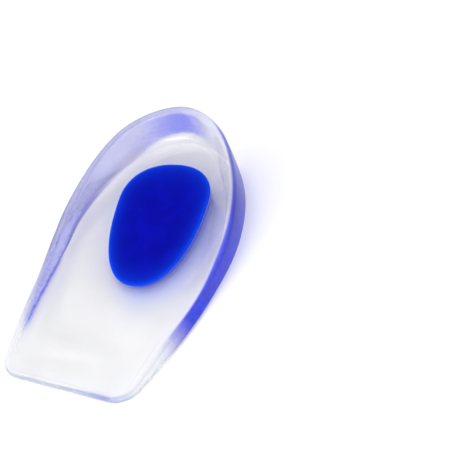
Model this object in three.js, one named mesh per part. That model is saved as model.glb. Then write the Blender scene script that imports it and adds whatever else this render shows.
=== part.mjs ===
// Heel cup: one clear gel cup with a softer gel pad set into its bed, in millimetres.
// X runs across the cup, Y from the toe edge to the heel, Z up from the flat underside.
import * as THREE from 'three';

// Size of the whole cup
const LENGTH = 102;
const WIDTH = 60.8;
const HEIGHT = 22.2;

// Toe edge: its width before the corners are rounded, the corner radius and the thickness
const TOE_WIDTH = 44.6;
const TOE_CORNER = 5.8;
const TOE_EDGE = 2.4;

// Outline seen from above: where it is widest, as a share of the length from the toe edge,
// how fast the sides widen towards it, and the heel's power: 1 is an ellipse, less is squarer
// and more is more pointed
const WIDEST_SHARE = 0.533;
const SIDE_POWER = 2;
const HEEL_POWER = 1.05;

// Foot of the outer wall: how far the underside stands in and how high the rounding goes
const FOOT_INSET = 1.5;
const FOOT_HEIGHT = 2.6;
const FOOT_SHARE = 0.2;

// Rim: full thickness, height of its rounding and the share of a low wall that it may take
const RIM_THICKNESS = 2.9;
const RIM_ROUND = 1.4;
const RIM_ROUND_SHARE = 0.4;

// Bow of the outer wall between foot and rim: 1 is straight, more keeps it upright for longer
const WALL_POWER = 1.6;

// Inner wall: how far the fillet reaches over the bed as a share of the wall's height, and the
// two places that shape the curve, as shares of the way from rim to bed
const FILLET_REACH_SHARE = 0.4;
const WALL_KNEE_SHARE = 0.35;
const WALL_DROP_SHARE = 0.45;
const FILLET_LIFT_SHARE = 0.08;

// Bed: its level at the toe edge as a share of the edge, and how much higher the sides lie
// where the cup is widest
const BED_AT_TOE_SHARE = 0.8;
const DISH_DEPTH = 1.2;

// Pad: length, width, where its widest place and its middle are, its outline's power (as for the
// heel), its turn and its shift to one side
const PAD_LENGTH = 47.4;
const PAD_WIDTH = 30.9;
const PAD_WIDEST_SHARE = 0.688;
const PAD_MIDDLE_SHARE = 0.62;
const PAD_POWER = 0.9;
const PAD_TURN = THREE.MathUtils.degToRad(9);
const PAD_SHIFT = 1.5;

// Pocket: gel left under it, gap round the pad, draft of its wall and rounding of the edges
const POCKET_SKIN = 1.2;
const PAD_GAP = 0.3;
const POCKET_DRAFT = 0.5;
const EDGE_ROUND = 0.45;

// Wall along the cup: share of the length from the toe edge, rise of the rim and of the bed as
// shares of the height above the toe edge, lean of the rim as a share of the height, how far
// the foot of the inner wall stands in from the rim as a share of the half width, and the
// rim's thickness as a share of its full one
const STATIONS = [
  { along: 0.0, rim: 0.0, bed: 0.0, lean: 0.02, foot: 0.012, thick: 0.4 },
  { along: 0.1, rim: 0.04, bed: 0.035, lean: 0.055, foot: 0.025, thick: 0.85 },
  { along: 0.2, rim: 0.063, bed: 0.054, lean: 0.08, foot: 0.05, thick: 1.0 },
  { along: 0.35, rim: 0.098, bed: 0.0745, lean: 0.055, foot: 0.09, thick: 1.0 },
  { along: 0.5, rim: 0.225, bed: 0.126, lean: 0.02, foot: 0.12, thick: 1.0 },
  { along: 0.62, rim: 0.399, bed: 0.183, lean: 0.005, foot: 0.12, thick: 1.0 },
  { along: 0.75, rim: 0.643, bed: 0.248, lean: 0.005, foot: 0.105, thick: 1.0 },
  { along: 0.88, rim: 0.892, bed: 0.319, lean: 0.035, foot: 0.08, thick: 1.0 },
  { along: 1.0, rim: 1.0, bed: 0.38, lean: 0.09, foot: 0.065, thick: 1.0 },
];

// Fineness: steps along half an outline, and rings over each stretch of the section
const HALF_STEPS = 60;
const DENSE_STEPS = 240;
const TURN_WEIGHT = 0.6;
const FOOT_RINGS = 4;
const OUTER_RINGS = 4;
const RIM_RINGS = 8;
const INNER_RINGS = 8;
const BED_RINGS = 9;
const EDGE_RINGS = 3;
const PAD_TOP_RINGS = 5;
const PAD_CORE_SHARE = 0.15;

// Colour and roughness of the two gels
const CLEAR_GEL = 0xe9ebf2;
const CLEAR_ROUGHNESS = 0.25;
const BLUE_GEL = 0x0a18b4;
const BLUE_ROUGHNESS = 0.4;

const QUARTER_TURN = Math.PI / 2;
const HALF_WIDTH = WIDTH / 2;
const WIDEST_Y = LENGTH * WIDEST_SHARE;

function mix(from, to, share) {
  return from + (to - from) * share;
}

// Smooth curve through one column of a table, without overshoot between its rows
function columnCurve(table, column) {
  const slopes = table.slice(1).map((row, index) => {
    const before = table[index];
    return (row[column] - before[column]) / (row.along - before.along);
  });
  const tangents = table.map((row, index) => {
    const left = slopes[Math.max(index - 1, 0)];
    const right = slopes[Math.min(index, slopes.length - 1)];
    return left * right > 0 ? (2 * left * right) / (left + right) : 0;
  });
  return (along) => {
    const last = table.length - 2;
    const found = table.findIndex((row, index) => index > 0 && along <= row.along);
    const start = found > 0 ? found - 1 : last;
    const span = table[start + 1].along - table[start].along;
    const share = THREE.MathUtils.clamp((along - table[start].along) / span, 0, 1);
    const square = share * share;
    const cube = square * share;
    const fromStart = (2 * cube - 3 * square + 1) * table[start][column];
    const fromEnd = (3 * square - 2 * cube) * table[start + 1][column];
    const startPull = (cube - 2 * square + share) * span * tangents[start];
    const endPull = (cube - square) * span * tangents[start + 1];
    return fromStart + fromEnd + startPull + endPull;
  };
}

const rimRise = columnCurve(STATIONS, 'rim');
const bedRise = columnCurve(STATIONS, 'bed');
const rimLean = columnCurve(STATIONS, 'lean');
const wallFoot = columnCurve(STATIONS, 'foot');
const rimThickness = columnCurve(STATIONS, 'thick');

// Height of the bed, which rises to the heel and a little to both sides
function bedHeight(x, y) {
  const level = BED_AT_TOE_SHARE * TOE_EDGE + (HEIGHT - TOE_EDGE) * bedRise(y / LENGTH);
  return level + DISH_DEPTH * Math.min(y / WIDEST_Y, 1) * (x / HALF_WIDTH) ** 2;
}

// Half the cup's outline as many small steps, from the middle of the toe edge to the heel
function cupOutline() {
  const points = [new THREE.Vector2(0, 0)];
  for (let step = 0; step <= DENSE_STEPS; step += 1) {
    const toWidest = (step / DENSE_STEPS) ** 2;
    const y = WIDEST_Y * toWidest;
    const widening = 1 - (1 - toWidest) ** SIDE_POWER;
    const side = mix(TOE_WIDTH / 2, HALF_WIDTH, widening);
    const intoCorner = Math.max((TOE_CORNER - y) / TOE_CORNER, 0);
    const cut = TOE_CORNER * (1 - Math.sqrt(1 - intoCorner ** 2));
    points.push(new THREE.Vector2(side - cut, y));
  }
  for (let step = 1; step <= DENSE_STEPS; step += 1) {
    const angle = QUARTER_TURN * (step / DENSE_STEPS);
    const x = HALF_WIDTH * Math.max(Math.cos(angle), 0) ** HEEL_POWER;
    const y = WIDEST_Y + (LENGTH - WIDEST_Y) * Math.sin(angle) ** HEEL_POWER;
    points.push(new THREE.Vector2(x, y));
  }
  points[points.length - 1].x = 0;
  return points;
}

// Half the pad's outline about its own middle: two squared half ellipses, a long one to the
// toe and a short one to the heel
function padOutline() {
  const toeReach = PAD_LENGTH * PAD_WIDEST_SHARE;
  const heelReach = PAD_LENGTH - toeReach;
  const points = [];
  for (let step = 0; step <= 2 * DENSE_STEPS; step += 1) {
    const angle = mix(-QUARTER_TURN, QUARTER_TURN, step / (2 * DENSE_STEPS));
    const reach = angle < 0 ? toeReach : heelReach;
    const x = (PAD_WIDTH / 2) * Math.max(Math.cos(angle), 0) ** PAD_POWER;
    const outwards = Math.sign(angle) * Math.abs(Math.sin(angle)) ** PAD_POWER;
    points.push(new THREE.Vector2(x, toeReach - PAD_LENGTH / 2 + reach * outwards));
  }
  points[0].x = 0;
  points[points.length - 1].x = 0;
  return points;
}

// Even places along half an outline, closer together where it turns, each with its outward
// direction
function placesAlong(points) {
  const lengths = points.slice(1).map((point, index) => point.distanceTo(points[index]));
  const headings = points.slice(1).map((point, index) => point.clone().sub(points[index]).angle());
  const turns = headings.map((heading, index) => Math.abs(heading - headings[Math.max(index - 1, 0)]));
  const sum = (values) => values.reduce((total, value) => total + value, 0);
  const wholeLength = sum(lengths);
  const wholeTurn = sum(turns);
  const marks = [0];
  lengths.forEach((length, index) => {
    const share = length / wholeLength + (TURN_WEIGHT * turns[index]) / wholeTurn;
    marks.push(marks[index] + share);
  });
  const places = [];
  for (let step = 0; step <= HALF_STEPS; step += 1) {
    const mark = (marks[marks.length - 1] * step) / HALF_STEPS;
    const found = marks.findIndex((value, index) => index > 0 && mark <= value);
    const end = found > 0 ? found : marks.length - 1;
    const share = (mark - marks[end - 1]) / (marks[end] - marks[end - 1]);
    const spot = points[end - 1].clone().lerp(points[end], Math.min(share, 1));
    places.push({ x: spot.x, y: spot.y });
  }
  return places.map((place, index) => {
    const before = places[Math.max(index - 1, 0)];
    const after = places[Math.min(index + 1, HALF_STEPS)];
    const onAxis = index === 0 || index === HALF_STEPS;
    const run = onAxis ? [index === 0 ? 1 : -1, 0] : [after.x - before.x, after.y - before.y];
    const size = Math.hypot(run[0], run[1]);
    return { x: place.x, y: place.y, outX: run[1] / size, outY: -run[0] / size };
  });
}

// The other half mirrored on, counter-clockwise seen from above
function wholeRound(half) {
  const mirrored = half.slice(1, -1).reverse();
  return half.concat(mirrored.map((place) => ({ ...place, x: -place.x, outX: -place.outX })));
}

// One ring of points: every place moved outwards by an offset, at its own height
function ringAt(places, offsetOf, heightOf) {
  return places.map((place) => {
    const offset = offsetOf(place);
    const x = place.x + place.outX * offset;
    const y = place.y + place.outY * offset;
    return new THREE.Vector3(x, y, heightOf(place, x, y));
  });
}

// Closed body from rings of equal count, the first and last ring filled straight across
function bodyFromRings(rings) {
  const count = rings[0].length;
  const positions = [];
  rings.flat().forEach((point) => positions.push(point.x, point.y - LENGTH / 2, point.z));
  const faces = [];
  for (let level = 0; level < rings.length - 1; level += 1) {
    for (let step = 0; step < count; step += 1) {
      const here = level * count + step;
      const next = level * count + ((step + 1) % count);
      faces.push(here, next, next + count);
      faces.push(here, next + count, here + count);
    }
  }
  const fill = (start, facingUp) => {
    for (let step = 0; step < count / 2; step += 1) {
      const right = start + step;
      const rightNext = start + step + 1;
      const left = start + ((count - step) % count);
      const leftNext = start + count - step - 1;
      const pair = [[right, left, leftNext], [right, leftNext, rightNext]];
      const whole = pair.filter((face) => new Set(face).size === face.length);
      whole.forEach((face) => faces.push(...(facingUp ? face.reverse() : face)));
    }
  };
  fill(0, false);
  fill((rings.length - 1) * count, true);
  const geometry = new THREE.BufferGeometry();
  geometry.setAttribute('position', new THREE.Float32BufferAttribute(positions, 3));
  geometry.setIndex(faces);
  geometry.computeVertexNormals();
  return geometry;
}

// Places on the pad's outline, turned and moved to where the pad sits in the cup
function padPlaces() {
  const turnX = Math.cos(PAD_TURN);
  const turnY = Math.sin(PAD_TURN);
  return wholeRound(placesAlong(padOutline())).map((place) => ({
    x: PAD_SHIFT + place.x * turnX - place.y * turnY,
    y: PAD_MIDDLE_SHARE * LENGTH + place.x * turnY + place.y * turnX,
    outX: place.outX * turnX - place.outY * turnY,
    outY: place.outX * turnY + place.outY * turnX,
  }));
}

// Sizes of the wall's section at one place of the outline
function sectionAt(place) {
  const along = place.y / LENGTH;
  const rimTop = mix(TOE_EDGE, HEIGHT, rimRise(along));
  const lean = HEIGHT * rimLean(along);
  const thickness = RIM_THICKNESS * rimThickness(along);
  const inset = thickness + HALF_WIDTH * wallFoot(along);
  const bedSide = bedHeight(place.x - place.outX * inset, place.y - place.outY * inset);
  const wallHeight = rimTop - bedSide;
  const footTop = Math.min(FOOT_HEIGHT, FOOT_SHARE * rimTop);
  const outerRound = Math.min(RIM_ROUND, RIM_ROUND_SHARE * rimTop);
  const innerRound = Math.min(RIM_ROUND, RIM_ROUND_SHARE * wallHeight);
  const reach = inset + FILLET_REACH_SHARE * wallHeight;
  return {
    rimTop, lean, thickness, inset, bedSide, footTop, outerRound, innerRound, reach,
  };
}

// Cup: underside, foot, outer wall, rim, inner wall, bed and pocket as one run of rings
function gelCup() {
  const places = wholeRound(placesAlong(cupOutline()));
  const sections = new Map(places.map((place) => [place, sectionAt(place)]));
  const rings = [];
  const addRing = (offsetOf, heightOf) => {
    const partAt = (place) => sections.get(place);
    rings.push(ringAt(places, (place) => offsetOf(partAt(place)), (place) => heightOf(partAt(place))));
  };
  for (let step = 0; step <= FOOT_RINGS; step += 1) {
    const angle = QUARTER_TURN * (step / FOOT_RINGS);
    addRing(() => FOOT_INSET * (Math.sin(angle) - 1), (part) => part.footTop * (1 - Math.cos(angle)));
  }
  for (let step = 1; step < OUTER_RINGS; step += 1) {
    const share = step / OUTER_RINGS;
    const heightOf = (part) => mix(part.footTop, part.rimTop - part.outerRound, share);
    addRing((part) => -part.lean * share ** WALL_POWER, heightOf);
  }
  for (let step = 0; step <= RIM_RINGS; step += 1) {
    const angle = Math.PI * (step / RIM_RINGS);
    const round = (part) => (angle < QUARTER_TURN ? part.outerRound : part.innerRound);
    const offsetOf = (part) => -part.lean + (part.thickness / 2) * (Math.cos(angle) - 1);
    addRing(offsetOf, (part) => part.rimTop - round(part) * (1 - Math.sin(angle)));
  }
  for (let step = 1; step <= INNER_RINGS; step += 1) {
    const share = step / INNER_RINGS;
    const rest = 1 - share;
    const pulls = [rest ** 3, 3 * rest * rest * share, 3 * rest * share * share, share ** 3];
    const blend = (values) => values.reduce((total, value, index) => total + value * pulls[index], 0);
    const offsetOf = (part) => {
      const top = -part.lean - part.thickness;
      return blend([top, mix(top, -part.inset, WALL_KNEE_SHARE), -part.inset, -part.reach]);
    };
    const heightOf = (part) => {
      const top = part.rimTop - part.innerRound;
      const lift = FILLET_LIFT_SHARE * (top - part.bedSide);
      return blend([top, mix(top, part.bedSide, WALL_DROP_SHARE), part.bedSide + lift, part.bedSide]);
    };
    addRing(offsetOf, heightOf);
  }
  const crease = rings[rings.length - 1];
  crease.forEach((point) => point.setZ(bedHeight(point.x, point.y)));
  const pad = padPlaces();
  const mouth = ringAt(pad, () => PAD_GAP + EDGE_ROUND, (place, x, y) => bedHeight(x, y));
  for (let step = 1; step < BED_RINGS; step += 1) {
    const ring = crease.map((point, index) => point.clone().lerp(mouth[index], step / BED_RINGS));
    ring.forEach((point) => point.setZ(bedHeight(point.x, point.y)));
    rings.push(ring);
  }
  rings.push(mouth);
  for (let step = 1; step <= EDGE_RINGS; step += 1) {
    const angle = QUARTER_TURN * (step / EDGE_RINGS);
    const offset = PAD_GAP + EDGE_ROUND * (1 - Math.sin(angle));
    const drop = EDGE_ROUND * (1 - Math.cos(angle));
    rings.push(ringAt(pad, () => offset, (place, x, y) => bedHeight(x, y) - drop));
  }
  rings.push(ringAt(pad, () => PAD_GAP - POCKET_DRAFT, () => POCKET_SKIN));
  return bodyFromRings(rings);
}

// Pad: flat bottom over the pocket floor, drafted side, rounded edge, top level with the bed
function heelPad() {
  const pad = padPlaces();
  const rings = [ringAt(pad, () => -POCKET_DRAFT, () => POCKET_SKIN + PAD_GAP)];
  for (let step = 0; step <= EDGE_RINGS; step += 1) {
    const angle = QUARTER_TURN * (step / EDGE_RINGS);
    const drop = EDGE_ROUND * (1 - Math.sin(angle));
    const offset = EDGE_ROUND * (Math.cos(angle) - 1);
    rings.push(ringAt(pad, () => offset, (place, x, y) => bedHeight(x, y) - drop));
  }
  const edge = rings[rings.length - 1];
  const middle = new THREE.Vector3(PAD_SHIFT, PAD_MIDDLE_SHARE * LENGTH, 0);
  for (let step = 1; step <= PAD_TOP_RINGS; step += 1) {
    const share = (1 - PAD_CORE_SHARE) * (step / PAD_TOP_RINGS);
    const ring = edge.map((point) => point.clone().lerp(middle, share));
    ring.forEach((point) => point.setZ(bedHeight(point.x, point.y)));
    rings.push(ring);
  }
  return bodyFromRings(rings);
}

function namedMesh(name, geometry, color, roughness) {
  const material = new THREE.MeshStandardMaterial({ name, color, roughness });
  const mesh = new THREE.Mesh(geometry, material);
  mesh.name = name;
  return mesh;
}

const heelCup = new THREE.Group();
heelCup.name = 'heel_cup';
heelCup.add(namedMesh('gel_cup', gelCup(), CLEAR_GEL, CLEAR_ROUGHNESS));
heelCup.add(namedMesh('heel_pad', heelPad(), BLUE_GEL, BLUE_ROUGHNESS));

export default heelCup;
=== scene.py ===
import math

import bpy
import numpy as np
from mathutils import Matrix, Vector


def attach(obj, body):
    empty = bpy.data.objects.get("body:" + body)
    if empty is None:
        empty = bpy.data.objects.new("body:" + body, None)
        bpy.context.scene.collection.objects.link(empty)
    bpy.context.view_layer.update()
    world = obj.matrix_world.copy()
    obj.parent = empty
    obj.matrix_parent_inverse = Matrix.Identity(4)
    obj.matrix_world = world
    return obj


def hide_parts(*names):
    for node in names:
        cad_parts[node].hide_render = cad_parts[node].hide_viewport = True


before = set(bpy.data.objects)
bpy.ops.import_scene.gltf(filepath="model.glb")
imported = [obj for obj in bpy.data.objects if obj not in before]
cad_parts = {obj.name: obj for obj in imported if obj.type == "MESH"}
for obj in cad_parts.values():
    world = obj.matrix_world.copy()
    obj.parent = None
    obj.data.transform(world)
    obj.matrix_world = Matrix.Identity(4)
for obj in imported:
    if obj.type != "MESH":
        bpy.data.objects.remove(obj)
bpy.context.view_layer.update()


# Camera: the place the photograph was taken from, worked out from the cup's outlines in it.
# The cup lies left of the middle, as there.
eye = Vector((0.2297, -0.2370, 0.3387))
aim = Vector((0.0258, 0.0181, 0.0))
tilt_sideways = math.radians(-18.8)
camera = bpy.data.objects.new("camera", bpy.data.cameras.new("camera"))
bpy.context.scene.collection.objects.link(camera)
camera.data.lens = 114.9
camera.data.clip_start = 0.01
camera.data.clip_end = 10
facing = (aim - eye).to_track_quat("-Z", "Y").to_matrix().to_4x4()
camera.matrix_world = Matrix.Translation(eye) @ facing @ Matrix.Rotation(tilt_sideways, 4, "Z")
bpy.context.scene.camera = camera
bpy.context.scene.view_settings.view_transform = "Standard"


# Table and light: a white sweep under soft, almost shadowless studio light. The main light is
# high up and a little behind the cup. A long low one in front of the toe makes the white shine
# in the fillet of the wall.
class Value:
    """A number or colour inside a node material, so that node maths reads as plain maths."""

    def __init__(self, tree, socket):
        self.tree = tree
        self.socket = socket

    def node(self, kind, inputs=None, output=0, **settings):
        """Any other node: inputs are by name or number, settings are the node's own."""
        made = self.tree.nodes.new(kind)
        for name, value in settings.items():
            setattr(made, name, value)
        for name, value in (inputs or {}).items():
            if isinstance(value, Value):
                self.tree.links.new(value.socket, made.inputs[name])
            else:
                made.inputs[name].default_value = value
        return Value(self.tree, made.outputs[output])

    def maths(self, operation, *others):
        values = dict(enumerate((self, *others)))
        return self.node("ShaderNodeMath", values, operation=operation)

    def __add__(self, other):
        return self.maths("ADD", other)

    def __mul__(self, other):
        return self.maths("MULTIPLY", other)

    def __sub__(self, other):
        return self.maths("SUBTRACT", other)

    def __rsub__(self, other):
        return self * -1.0 + other

    __radd__ = __add__
    __rmul__ = __mul__

    def attribute(self, name):
        """A number that the points of the mesh carry."""
        return self.node("ShaderNodeAttribute", output="Fac", attribute_name=name)

    def noise(self, scale, detail):
        """Cloudy noise around one half, with this many clouds to the metre."""
        return self.node("ShaderNodeTexNoise", {"Vector": self, "Scale": scale, "Detail": detail})

    def between(self, low, high):
        """0 below low, 1 above high, and a smooth step in between."""
        ends = {"Value": self, "From Min": low, "From Max": high}
        return self.node("ShaderNodeMapRange", ends, interpolation_type="SMOOTHSTEP")

    def blend(self, first, second):
        """The first colour where this is 0 and the second where it is 1."""
        ends = {0: self, 6: first, 7: second}
        return self.node("ShaderNodeMix", ends, output=2, data_type="RGBA")


def new_material(name):
    """A node material, the place on the piece to start its maths from, and its shader."""
    material = bpy.data.materials.new(name)
    material.use_nodes = True
    tree = material.node_tree
    shader = tree.nodes["Principled BSDF"]
    place = tree.nodes.new("ShaderNodeTexCoord")
    return material, Value(tree, place.outputs["Object"]), shader


def mesh_piece(name, points, quads, material, triangles=(), **attributes):
    """A smooth-shaded mesh from arrays of points and faces. Each attribute holds one number for
    each point, which the material reads."""
    triangles = np.reshape(triangles, (-1, 3)).astype(np.int32)
    corners = np.concatenate([quads.ravel(), triangles.ravel()]).astype(np.int32)
    sizes = np.repeat([4, 3], [len(quads), len(triangles)])
    mesh = bpy.data.meshes.new(name)
    mesh.vertices.add(len(points))
    mesh.vertices.foreach_set("co", points.astype(np.float32).ravel())
    mesh.loops.add(len(corners))
    mesh.loops.foreach_set("vertex_index", corners)
    mesh.polygons.add(len(sizes))
    mesh.polygons.foreach_set("loop_start", (np.cumsum(sizes) - sizes).astype(np.int32))
    mesh.update(calc_edges=True)
    for key, values in attributes.items():
        layer = mesh.attributes.new(key, "FLOAT", "POINT")
        layer.data.foreach_set("value", values.astype(np.float32).ravel())
    mesh.shade_smooth()
    mesh.materials.append(material)
    piece = bpy.data.objects.new(name, mesh)
    bpy.context.scene.collection.objects.link(piece)
    return piece


floor_material, _, floor_shader = new_material("white_sweep")
floor_shader.inputs["Base Color"].default_value = (0.92, 0.92, 0.93, 1)
floor_shader.inputs["Roughness"].default_value = 0.9
reach, below_gel = 1.5, -0.0002
corners = np.array([(-reach, -reach), (reach, -reach), (reach, reach), (-reach, reach)])
corners = np.column_stack([corners, np.full(4, below_gel)])
floor = mesh_piece("floor", corners, np.array([[0, 1, 2, 3]]), floor_material)

world = bpy.data.worlds.new("studio")
world.use_nodes = True
world.node_tree.nodes["Background"].inputs["Color"].default_value = (1, 1, 1, 1)
world.node_tree.nodes["Background"].inputs["Strength"].default_value = 0.77
bpy.context.scene.world = world

for name, place, sides, power in (
    ("main_light", (-0.1, 0.22, 0.95), (0.6, 0.6), 2.7),
    ("shine_light", (-0.1, -0.72, 0.3), (1.1, 0.11), 6.4),
):
    lamp = bpy.data.lights.new(name, "AREA")
    lamp.shape = "RECTANGLE"
    lamp.size, lamp.size_y = sides
    lamp.energy = power
    light = bpy.data.objects.new(name, lamp)
    light.location = place
    light.rotation_euler = (-Vector(place)).to_track_quat("-Z", "Y").to_euler()
    bpy.context.scene.collection.objects.link(light)


# Cup: one casting of clear gel. A flat sole with a thin toe edge, and a wall that climbs along
# both sides and stands highest round the heel, with a soft fillet down to a shallow bed.
length, width, height = 0.102, 0.0608, 0.0222
toe_width, toe_corner, toe_edge = 0.0446, 0.0058, 0.0024
widest_y, heel_power = 0.533 * length, 1.05
rim_thickness, rim_round = 0.0029, 0.0014
foot_inset, foot_height = 0.0015, 0.0026
bed_at_toe, bed_side_rise = 0.8 * toe_edge, 0.0012

# The wall: the power by which its outside leans in as it climbs, the shares of a low wall that
# the foot and the rim's rounds may take, and the shares that shape the curve of its inner side
lean_power = 1.6
foot_share, round_share = 0.2, 0.4
knee_in, knee_down, fillet_lift, fillet_reach = 0.35, 0.45, 0.08, 0.4

# Steps along half an outline, and rings in each stretch of the section
half_steps, curve_steps, turn_weight = 150, 400, 0.6
foot_rings, wall_rings, rim_rings, inside_rings, bed_rings, edge_rings = 8, 12, 17, 19, 27, 5

# Along the cup: share of the length, then rise of rim and bed, lean of the rim, foot of the wall
# and thickness of the rim
stations = np.array([
    (0.00, 0.000, 0.0000, 0.020, 0.012, 0.40),
    (0.10, 0.040, 0.0350, 0.055, 0.025, 0.85),
    (0.20, 0.063, 0.0540, 0.080, 0.050, 1.00),
    (0.35, 0.098, 0.0745, 0.055, 0.090, 1.00),
    (0.50, 0.225, 0.1260, 0.020, 0.120, 1.00),
    (0.62, 0.399, 0.1830, 0.005, 0.120, 1.00),
    (0.75, 0.643, 0.2480, 0.005, 0.105, 1.00),
    (0.88, 0.892, 0.3190, 0.035, 0.080, 1.00),
    (1.00, 1.000, 0.3800, 0.090, 0.065, 1.00),
])
rim_column, bed_column, lean_column, foot_column, thick_column = 1, 2, 3, 4, 5


def along_cup(share, column):
    """A column of the table as a smooth curve with no overshoot: a cubic between each two rows
    whose slopes are the harmonic mean of the slopes on either side."""
    places, values = stations[:, 0], stations[:, column]
    slopes = np.diff(values) / np.diff(places)
    left = np.concatenate([slopes[:1], slopes])
    right = np.concatenate([slopes, slopes[-1:]])
    both = np.where(left * right > 0, left + right, 1)
    tangents = np.where(left * right > 0, 2 * left * right / both, 0)
    start = np.clip(np.searchsorted(places, share, side="right") - 1, 0, len(places) - 2)
    span = places[start + 1] - places[start]
    t = np.clip((share - places[start]) / span, 0, 1)
    ends = (2 * t**3 - 3 * t**2 + 1) * values[start] + (3 * t**2 - 2 * t**3) * values[start + 1]
    start_pull = (t**3 - 2 * t**2 + t) * span * tangents[start]
    return ends + start_pull + (t**3 - t**2) * span * tangents[start + 1]


def bed_height(x, y):
    """Height of the bed: it rises to the heel by the table and to the sides as a parabola, which
    starts flat at the toe and is full from the widest place on."""
    level = bed_at_toe + (height - toe_edge) * along_cup(y / length, bed_column)
    return level + bed_side_rise * np.minimum(y / widest_y, 1) * (x / (width / 2)) ** 2


def spread_evenly(points):
    """Places at even steps along half an outline, closer where it turns, then the other half
    mirrored on. Gives the points and their outward directions, counter-clockwise from above."""
    steps = np.diff(points, axis=0)
    lengths = np.hypot(steps[:, 0], steps[:, 1])
    headings = np.unwrap(np.arctan2(steps[:, 1], steps[:, 0]))
    turns = np.abs(np.diff(headings, prepend=headings[0]))
    weights = lengths / lengths.sum() + turn_weight * turns / turns.sum()
    marks = np.concatenate([[0], np.cumsum(weights)])
    wanted = np.linspace(0, marks[-1], half_steps + 1)
    half = np.stack([np.interp(wanted, marks, points[:, axis]) for axis in (0, 1)], 1)
    whole = np.concatenate([half, (half * (-1, 1))[-2:0:-1]])
    run = np.roll(whole, -1, axis=0) - np.roll(whole, 1, axis=0)
    outward = np.stack([run[:, 1], -run[:, 0]], 1) / np.linalg.norm(run, axis=1, keepdims=True)
    return whole, outward


def cup_outline():
    """Half the outline: a straight toe edge, a rounded corner, a side that bows out to the
    widest place, and a quarter of a slightly pointed ellipse round the heel."""
    to_widest = np.linspace(0, 1, curve_steps) ** 2
    y = widest_y * to_widest
    side = toe_width / 2 + (width - toe_width) / 2 * (1 - (1 - to_widest) ** 2)
    into_corner = np.maximum((toe_corner - y) / toe_corner, 0)
    side -= toe_corner * (1 - np.sqrt(1 - into_corner**2))
    angle = np.linspace(0, math.pi / 2, curve_steps)[1:]
    heel_x = width / 2 * np.maximum(np.cos(angle), 0) ** heel_power
    heel_y = widest_y + (length - widest_y) * np.sin(angle) ** heel_power
    heel_x[-1] = 0
    return np.stack([np.concatenate([[0], side, heel_x]), np.concatenate([[0], y, heel_y])], 1)


def ring(places, outward, offset, level):
    """The outline moved outwards by the offset, at the given height."""
    moved = places + outward * np.reshape(offset, (-1, 1))
    return np.column_stack([moved, np.broadcast_to(level, len(places))])


def closed_skin(rings):
    """Points, quads and triangles of a closed skin through the rings. The first and last ring are
    filled straight across, between places that mirror each other."""
    count = len(rings[0])
    step = np.arange(count)
    level = np.arange(len(rings) - 1)[:, None] * count
    here, after = level + step, level + (step + 1) % count
    sides = np.stack([here, after, after + count, here + count], -1).reshape(-1, 4)
    across = np.arange(1, count // 2 - 1)
    fill = np.stack([across, count - across, count - across - 1, across + 1], 1)
    tips = np.array([(0, count - 1, 1), (count // 2 - 1, count // 2 + 1, count // 2)])
    last = (len(rings) - 1) * count
    quads = np.concatenate([sides, fill, fill[:, ::-1] + last])
    return np.concatenate(rings), quads, np.concatenate([tips, tips[:, ::-1] + last])


# The pocket that the pad fills: an egg, its broad end to the heel, turned a few degrees
pocket_length, pocket_width, pocket_turn = 0.0474, 0.0309, math.radians(9)
pocket_to_toe, pocket_power = 0.688 * pocket_length, 0.9
pocket_middle = np.array([0.0015, 0.62 * length])
edge_round, pocket_floor, draft = 0.00045, 0.0012, 0.0005


def pocket_outline():
    """Half the egg about its middle: two squared half ellipses, the long one to the toe."""
    angle = np.linspace(-math.pi / 2, math.pi / 2, 2 * curve_steps)
    reaches = np.where(angle < 0, -pocket_to_toe, pocket_length - pocket_to_toe)
    y = pocket_to_toe - pocket_length / 2 + reaches * np.abs(np.sin(angle)) ** pocket_power
    x = pocket_width / 2 * np.maximum(np.cos(angle), 0) ** pocket_power
    x[[0, -1]] = 0
    return np.stack([x, y], 1)


cosine, sine = math.cos(pocket_turn), math.sin(pocket_turn)
turn = np.array([(cosine, sine), (-sine, cosine)])
egg, egg_outward = spread_evenly(pocket_outline())
egg, egg_outward = egg @ turn + pocket_middle, egg_outward @ turn


def on_bed(offset, drop=0.0):
    """The egg moved outwards by the offset and laid on the bed, or a little below it."""
    flat = ring(egg, egg_outward, offset, 0)
    flat[:, 2] = bed_height(flat[:, 0], flat[:, 1]) - drop
    return flat


# The section is the same run of rings everywhere; only its sizes change along the cup. Stages
# count its stretches: the foot ends at 1, the outer wall at 2, the rim at 3, the inner wall at
# 4, the bed at 5, the pocket's rounded edge at 6 and the pocket's side at 7.
outline, outward = spread_evenly(cup_outline())
share = outline[:, 1] / length
rim_top = toe_edge + (height - toe_edge) * along_cup(share, rim_column)
lean = height * along_cup(share, lean_column)
thickness = rim_thickness * along_cup(share, thick_column)
inset = thickness + width / 2 * along_cup(share, foot_column)
bed_side = bed_height(*(outline - outward * inset[:, None]).T)
wall = rim_top - bed_side
foot_top = np.minimum(foot_height, foot_share * rim_top)
outer_round = np.minimum(rim_round, round_share * rim_top)
inner_round = np.minimum(rim_round, round_share * wall)

cup_rings, stages = [], []
for t in np.linspace(0, 1, foot_rings):
    quarter = t * math.pi / 2
    level = foot_top * (1 - math.cos(quarter))
    cup_rings.append(ring(outline, outward, foot_inset * (math.sin(quarter) - 1), level))
    stages.append(t)
for t in np.linspace(0, 1, wall_rings)[1:-1]:
    level = foot_top + (rim_top - outer_round - foot_top) * t
    cup_rings.append(ring(outline, outward, -lean * t**lean_power, level))
    stages.append(1 + t)
for t in np.linspace(0, 1, rim_rings):
    drop = np.where(t < 0.5, outer_round, inner_round) * (1 - math.sin(t * math.pi))
    offset = thickness / 2 * (math.cos(t * math.pi) - 1) - lean
    cup_rings.append(ring(outline, outward, offset, rim_top - drop))
    stages.append(2 + t)

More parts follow.
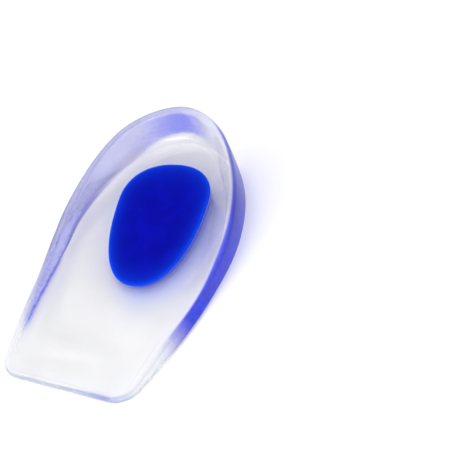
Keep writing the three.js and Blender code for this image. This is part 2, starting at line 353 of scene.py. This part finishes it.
# The inner wall is one cubic curve: from the rim's inside, by a knee and the foot, onto the bed
inside_top, rim_inside = rim_top - inner_round, -lean - thickness
knee = (1 - knee_in) * rim_inside - knee_in * inset
knee_level = (1 - knee_down) * inside_top + knee_down * bed_side
foot_level = bed_side + fillet_lift * (inside_top - bed_side)
pull_offsets = np.stack([rim_inside, knee, -inset, -inset - fillet_reach * wall])
pull_levels = np.stack([inside_top, knee_level, foot_level, bed_side])
for t in np.linspace(0, 1, inside_rings)[1:]:
    pulls = np.array([(1 - t) ** 3, 3 * (1 - t) ** 2 * t, 3 * (1 - t) * t**2, t**3])
    cup_rings.append(ring(outline, outward, pulls @ pull_offsets, pulls @ pull_levels))
    stages.append(3 + t)
bed_edge, mouth = cup_rings.pop(), on_bed(edge_round)
stages.pop()
for t in np.linspace(0, 1, bed_rings):
    bed_ring = bed_edge + (mouth - bed_edge) * t
    bed_ring[:, 2] = bed_height(bed_ring[:, 0], bed_ring[:, 1])
    cup_rings.append(bed_ring)
    stages.append(4 + t)
for t in np.linspace(0, 1, edge_rings)[1:]:
    quarter = t * math.pi / 2
    offset = edge_round * (1 - math.sin(quarter))
    cup_rings.append(on_bed(offset, edge_round * (1 - math.cos(quarter))))
    stages.append(5 + t)
cup_rings.append(ring(egg, egg_outward, -draft, pocket_floor))
stages.append(7)
points, quads, triangles = closed_skin(cup_rings)


def rise(values, low, high):
    """0 below low, 1 above high and a smooth step in between, for whole arrays."""
    share = np.clip((values - low) / (high - low), 0, 1)
    return share * share * (3 - 2 * share)


def within(values, start, full, fade, end):
    """0 before the start, 1 between full and fade, 0 from the end on, smooth in between."""
    return rise(values, start, full) * (1 - rise(values, fade, end))


def peak(values, middle, spread):
    """1 at the middle and falling off to both sides as a bell does, to 0.37 at the spread."""
    return np.exp(-(((values - middle) / spread) ** 2))


# The clear gel carries the pad's blue to other places, by refraction and by reflection. Here that
# light, with some shade and shine, is painted into the gel's colour. Each field here is a number
# from 0 to 1 for every point: a product of masks on the point's stage in the section, its share
# of the cup's length from the toe, and its place across the cup. The far side is the one with
# negative x.
stage = np.repeat(stages, len(outline))
x, along = points[:, 0], points[:, 1] / length
far_side = 1 - rise(x, -0.005, 0.012)
right_half = rise(x, 0, 0.006)
behind_toe = rise(along, 0.15, 0.35)
beside_pad = rise(x, -0.004, 0.01) * (1 - rise(along, 0.6, 0.8))
every_sixth = egg[::6]
to_pad = np.linalg.norm(points[:, None, :2] - every_sixth, axis=2).min(1)

# How far up the section the painted blue band reaches, and where the wall's crease with the bed
# shows
band_top = 2.4 + 0.16 * peak(along, 0.55, 0.1) - 0.3 * far_side
outer_wall = within(stage, 0.1, 0.6, band_top - 0.1, band_top + 0.1)
band = outer_wall * behind_toe * (1 - rise(along, 0.88, 0.97))
band *= 1 - far_side * (0.6 + 0.35 * rise(along, 0.55, 0.8))
crease = 4.08 - 0.37 * rise(along, 0.38, 0.58) - 0.17 * rise(along, 0.8, 0.95)
inner_wall = within(stage, 2.2, 2.8, crease - 0.06, crease + 0.05)
inner_wall *= 0.75 + 0.25 * rise(stage, crease - 0.6, crease - 0.1)
inner_wall *= rise(along, 0.12, 0.2) * (1 - 0.15 * rise(along, 0.3, 0.55))
fillet_ends = rise(along, 0.7, 0.86) + (1 - rise(along, 0.35, 0.6)) * far_side

fields = {
    # Painted refraction: the pad's blue as a deep band in the outer wall, weaker on the far side
    "outer_refracted_blue": 1 - (1 - band) ** 2,
    # Painted refraction of the pad's blue on the inner wall of the far side, and painted dark
    # lines along its crease with the bed and along its rim
    "inner_refracted_blue": inner_wall * (0.08 + 0.92 * far_side),
    "painted_crease_line": peak(stage, crease - 0.12, 0.12) * far_side
    * within(along, 0.25, 0.45, 0.84, 0.9),
    "painted_rim_line": peak(stage, 2.42, 0.1) * far_side * rise(along, 0.3, 0.5),
    # Painted refraction of the pad's blue at the back of the heel, inside and on its rim, and a
    # painted white highlight in the fillet there and at the front end of the far side
    "heel_refracted_blue": peak(x, -0.002, 0.0105) * rise(along, 0.85, 0.93)
    * within(stage, 2.8, 3.05, 3.44, 3.54),
    "heel_rim_painted_blue": rise(along, 0.8, 0.9)
    * within(stage, 1.9, 2.4, 2.6 + 0.7 * right_half, 2.9 + 0.65 * right_half),
    "fillet_shine": peak(stage, crease + 0.14, 0.09) * fillet_ends,
    # The bed round the pad: painted refraction of its blue in front on the near side, and painted
    # grey shade elsewhere with a painted light line along the pad's edge
    "halo": peak(to_pad, 0, 0.0055 + 0.0025 * beside_pad) * (0.25 + 0.75 * beside_pad),
    "painted_shade_halo": peak(to_pad, 0, 0.007) * (1 - beside_pad),
    "pad_glow": peak(to_pad, 0, 0.0007) * (1 - beside_pad),
    # The inner wall of the near side, which is clearer than the rest
    "near_clear": within(stage, band_top + 0.1, band_top + 0.4, 3.9, 4.3)
    * rise(x, 0.01, 0.018) * (1 - rise(along, 0.75, 0.85)),
    # Painted blue light along the toe edge, and a spot of it towards its right corner
    "toe_painted_blue": outer_wall * (1 - behind_toe) * (1 - 0.7 * rise(along, 0.02, 0.06)),
    "corner_painted_blue": outer_wall * (1 - rise(along, 0.01, 0.04)) * peak(x, 0.014, 0.006),
}


def connect(value, shader, socket):
    value.tree.links.new(value.socket, shader.inputs[socket])


gel_material, gel_place, gel_shader = new_material("clear_gel")
masks = {name: gel_place.attribute(name) for name in fields}
frost = gel_place.noise(1500, 2).between(0.3, 0.7)
masks["inner_refracted_blue"] *= frost * 0.35 + 0.82
masks["heel_refracted_blue"] *= frost * 0.25 + 0.87
dull_clear, bright_clear = (0.87, 0.87, 0.885, 1), (0.93, 0.93, 0.935, 1)
band_dark, band_light = (0.0002, 0.0025, 0.66, 1), (0.001, 0.008, 0.84, 1)
deep_blue = gel_place.noise(700, 3).between(0.35, 0.65).blend(band_dark, band_light)

# Painted light and shade laid over the clear gel, from the lowest up: field, cover, colour, and
# how much less one sees through the gel there
colour = gel_place.noise(90, 3).between(0.35, 0.65).blend(dull_clear, bright_clear)
opacity = 0.5 - masks["near_clear"] * 0.35
for name, cover, tint, denser in (
    ("fillet_shine", 1, (1, 1, 1, 1), 0.4),
    ("heel_rim_painted_blue", 0.7, (0.5, 0.57, 1, 1), 0),
    ("inner_refracted_blue", 1, (0.035, 0.048, 0.8, 1), 0.48),
    ("painted_crease_line", 0.95, (0.025, 0.02, 0.3, 1), 0.2),
    ("heel_refracted_blue", 1, (0.05, 0.07, 0.75, 1), 0.4),
    ("painted_rim_line", 1, (0.1, 0.12, 0.5, 1), 0.3),
    ("toe_painted_blue", 1, (0.3, 0.42, 0.74, 1), 0),
    ("corner_painted_blue", 1, (0.03, 0.06, 0.7, 1), 0),
    ("outer_refracted_blue", 1, deep_blue, 0.48),
    ("painted_shade_halo", 0.8, (0.64, 0.6, 0.62, 1), 0),
    ("halo", 0.8, (0.26, 0.34, 1, 1), 0.3),
    ("pad_glow", 0.7, (0.4, 0.62, 1, 1), 0),
):
    colour = (masks[name] * cover).blend(colour, tint)
    opacity = opacity + masks[name] * denser

# The cast surface is slightly wavy, and a little duller where the painted blue band shows
wave_height = 0.00012
waves = gel_place.noise(60, 1) * wave_height
bump = gel_place.node("ShaderNodeBump", {"Height": waves, "Distance": 1.0, "Strength": 0.6})
connect(bump, gel_shader, "Normal")
connect(colour, gel_shader, "Base Color")
connect(opacity, gel_shader, "Alpha")
connect(masks["outer_refracted_blue"] * 0.25 + 0.12, gel_shader, "Roughness")
gel_shader.inputs["IOR"].default_value = 1.41
gel_shader.inputs["Transmission Weight"].default_value = 0.85
cup = mesh_piece("cup_gel", points - (0, length / 2, 0), quads, gel_material, triangles, **fields)
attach(cup, "root")
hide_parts("gel_cup")


# Pad: a softer blue gel set flush into the bed under the heel bone and bonded to the cup, so no
# air shows round it. Its edge is painted a brighter blue than its thicker middle, for the light
# that leaks in there from the clear gel round it.
hair = 0.00005
side_rings, top_rings, innermost, crowding = 6, 24, 0.98, 1.5
pad_rings = [ring(egg, egg_outward, hair - draft, pocket_floor - hair)]
for t in np.linspace(0, 1, side_rings):
    quarter = t * math.pi / 2
    offset = hair - edge_round * (1 - math.cos(quarter))
    pad_rings.append(on_bed(offset, edge_round * (1 - math.sin(quarter)) - hair))
pad_edge = pad_rings[-1]
inward = np.linspace(0, innermost, top_rings)[1:] ** crowding
for t in inward:
    pad_ring = pad_edge + (np.append(pocket_middle, 0) - pad_edge) * t
    pad_ring[:, 2] = bed_height(pad_ring[:, 0], pad_ring[:, 1]) + hair
    pad_rings.append(pad_ring)
points, quads, triangles = closed_skin(pad_rings)

# The painted bright edge fades quickly at first and then slowly, by the share of the way to the
# middle
quick_fade, slow_fade = 0.02, 0.12
from_edge = np.repeat(np.append(np.zeros(1 + side_rings), inward), len(egg))
thin_edge = 0.6 * np.exp(-from_edge / slow_fade) + 0.4 * np.exp(-from_edge / quick_fade)

pad_material, pad_place, pad_shader = new_material("blue_gel")
thick_dark, thick_light = (0.0008, 0.0016, 0.27, 1), (0.0012, 0.0026, 0.33, 1)
edge_blue = (0.002, 0.045, 0.66, 1)
thick_blue = pad_place.noise(160, 3).between(0.3, 0.7).blend(thick_dark, thick_light)
connect(pad_place.attribute("thin_edge").blend(thick_blue, edge_blue), pad_shader, "Base Color")
pad_shader.inputs["Roughness"].default_value = 0.5
pad_shader.inputs["Specular IOR Level"].default_value = 0.02
points = points - (0, length / 2, 0)
pad = mesh_piece("pad_gel", points, quads, pad_material, triangles, thin_edge=thin_edge)
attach(pad, "root")
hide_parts("heel_pad")
